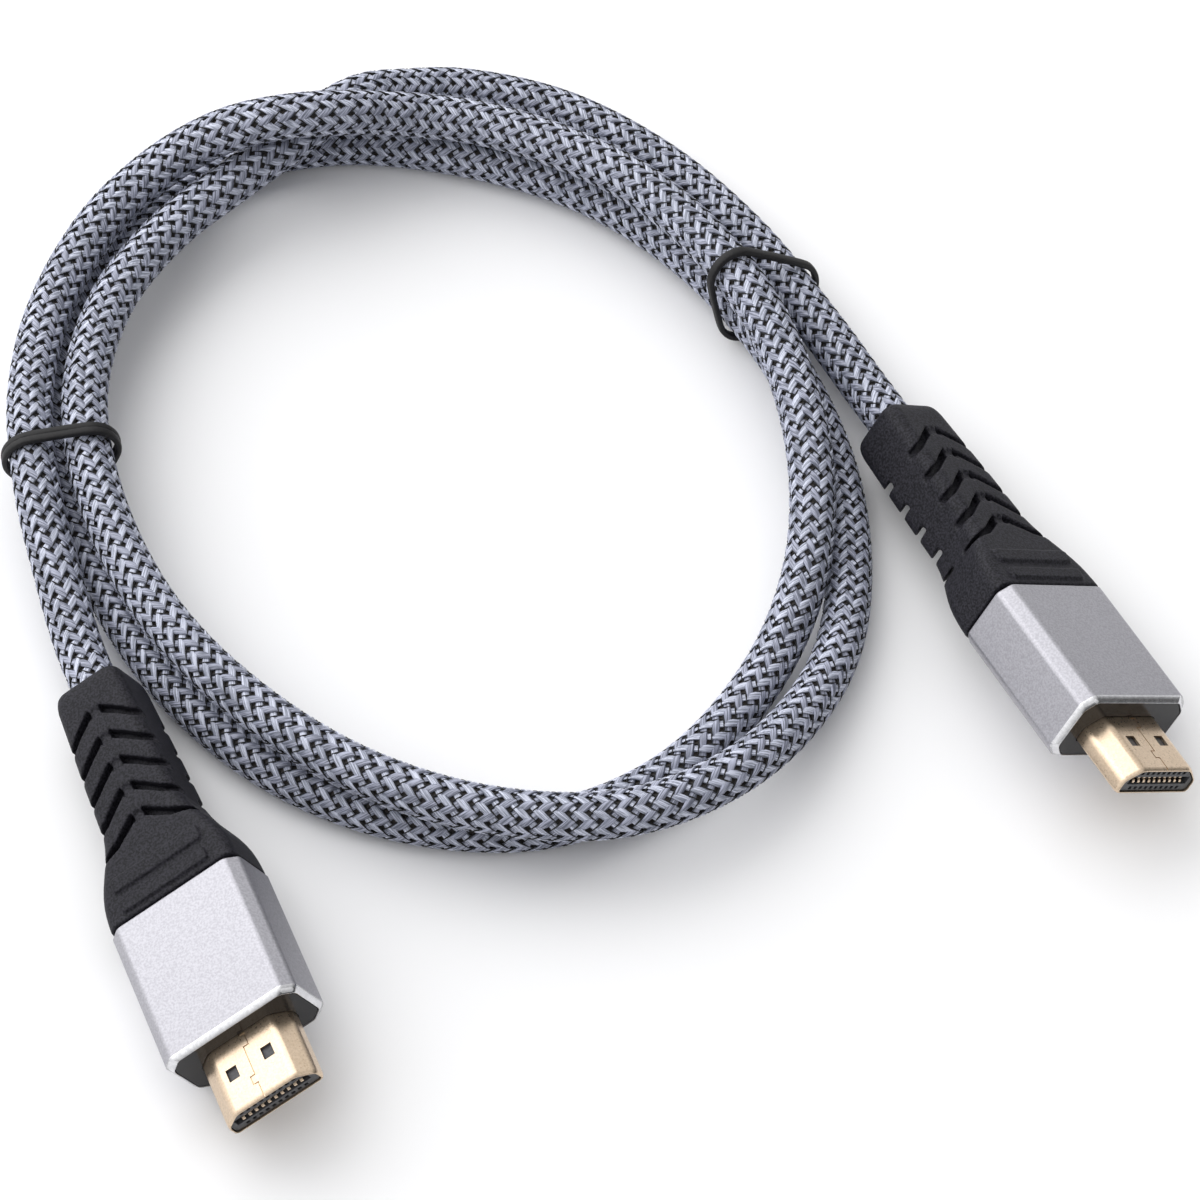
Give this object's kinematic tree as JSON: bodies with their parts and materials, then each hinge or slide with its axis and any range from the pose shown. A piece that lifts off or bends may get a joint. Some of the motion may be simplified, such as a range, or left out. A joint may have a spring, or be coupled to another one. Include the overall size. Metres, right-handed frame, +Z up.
{
  "type": "digital video cable",
  "caption": "Braided digital video cable with a type A plug on each end, lying in loose turns held by rubber ties.",
  "frame": {"origin": "centre of the box round the cable as it lies, on the floor", "axes": "+Z up from the floor, +Y away from the two plugs across the turns, +X to the right with the plugs in front"},
  "size_m": [0.1585, 0.1715, 0.0202],
  "materials": {
    "braid": "woven light grey filament with black edges",
    "boot": "fine moulded texture",
    "sleeve": "bead blasted, polished front edge",
    "gloss_black": "gloss",
    "gold": "thin gold plating, satin",
    "tie": "matte"
  },
  "bodies": {
    "root": {"left_boot": "boot", "left_sleeve": "sleeve", "left_face_plate": "gloss_black", "left_connector_shell": "gold", "left_insulator": "gloss_black", "left_contact_upper_1": "gold", "left_contact_upper_2": "gold", "left_contact_upper_3": "gold", "left_contact_upper_4": "gold", "left_contact_upper_5": "gold", "left_contact_upper_6": "gold", "left_contact_upper_7": "gold", "left_contact_upper_8": "gold", "left_contact_upper_9": "gold", "left_contact_lower_1": "gold", "left_contact_lower_2": "gold", "left_contact_lower_3": "gold", "left_contact_lower_4": "gold", "left_contact_lower_5": "gold", "left_contact_lower_6": "gold", "left_contact_lower_7": "gold", "left_contact_lower_8": "gold", "left_contact_lower_9": "gold", "left_contact_lower_10": "gold", "right_boot": "boot", "right_sleeve": "sleeve", "right_face_plate": "gloss_black", "right_connector_shell": "gold", "right_insulator": "gloss_black", "right_contact_upper_1": "gold", "right_contact_upper_2": "gold", "right_contact_upper_3": "gold", "right_contact_upper_4": "gold", "right_contact_upper_5": "gold", "right_contact_upper_6": "gold", "right_contact_upper_7": "gold", "right_contact_upper_8": "gold", "right_contact_upper_9": "gold", "right_contact_lower_1": "gold", "right_contact_lower_2": "gold", "right_contact_lower_3": "gold", "right_contact_lower_4": "gold", "right_contact_lower_5": "gold", "right_contact_lower_6": "gold", "right_contact_lower_7": "gold", "right_contact_lower_8": "gold", "right_contact_lower_9": "gold", "right_contact_lower_10": "gold", "cable": "braid", "left_tie": "tie", "right_tie": "tie"}
  },
  "joints": []
}
